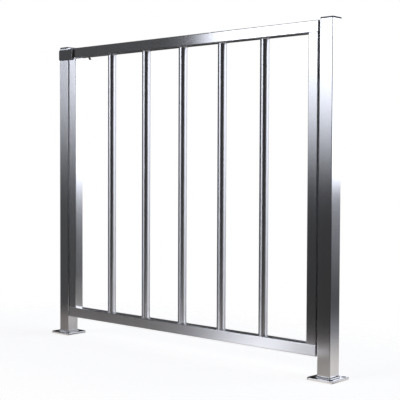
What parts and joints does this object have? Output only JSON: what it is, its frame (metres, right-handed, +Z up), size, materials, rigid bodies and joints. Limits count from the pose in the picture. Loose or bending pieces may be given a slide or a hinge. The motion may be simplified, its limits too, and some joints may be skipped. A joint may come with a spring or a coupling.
{
  "type": "waist-high access gate",
  "caption": "Waist-high brushed stainless steel access gate: square-tube leaf with round vertical bars, hung between two square posts on bolted base plates.",
  "frame": {"origin": "centre of the underside of the hinge post's base plate, on the floor", "axes": "+X from the latch post to the hinge post (right in the picture), -Y towards the viewer's side, +Z up"},
  "size_m": [1.08, 0.08, 0.9],
  "materials": {
    "brushed_stainless": "satin, brushed along the tube",
    "bearing_bronze": "plain turned"
  },
  "bodies": {
    "posts": {"latch_post": "brushed_stainless", "latch_post_base_plate": "brushed_stainless", "latch_post_foot_weld": "brushed_stainless", "latch_post_cap": "brushed_stainless", "latch_stop_plate": "brushed_stainless", "hinge_post": "brushed_stainless", "hinge_post_base_plate": "brushed_stainless", "hinge_post_foot_weld": "brushed_stainless", "hinge_post_cap": "brushed_stainless", "lower_hinge_post_barrel": "brushed_stainless", "lower_hinge_pin": "brushed_stainless", "lower_hinge_washer": "bearing_bronze", "upper_hinge_post_barrel": "brushed_stainless", "upper_hinge_pin": "brushed_stainless", "upper_hinge_washer": "bearing_bronze"},
    "leaf": {"top_rail": "brushed_stainless", "bottom_rail": "brushed_stainless", "rail_end_caps": "brushed_stainless", "latch_stile": "brushed_stainless", "hinge_stile": "brushed_stainless", "bar_1": "brushed_stainless", "bar_2": "brushed_stainless", "bar_3": "brushed_stainless", "bar_4": "brushed_stainless", "bar_5": "brushed_stainless", "bar_end_welds": "brushed_stainless", "frame_joint_welds": "brushed_stainless", "top_rail_tab": "brushed_stainless", "lower_hinge_leaf_barrel": "brushed_stainless", "upper_hinge_leaf_barrel": "brushed_stainless"}
  },
  "joints": [
    {"name": "leaf_swing", "type": "hinge", "parent": "posts", "child": "leaf", "pos_m": [-0.03, 0.0195, 0.5], "axis": [0, 0, -1], "range_deg": [0, 180]}
  ]
}
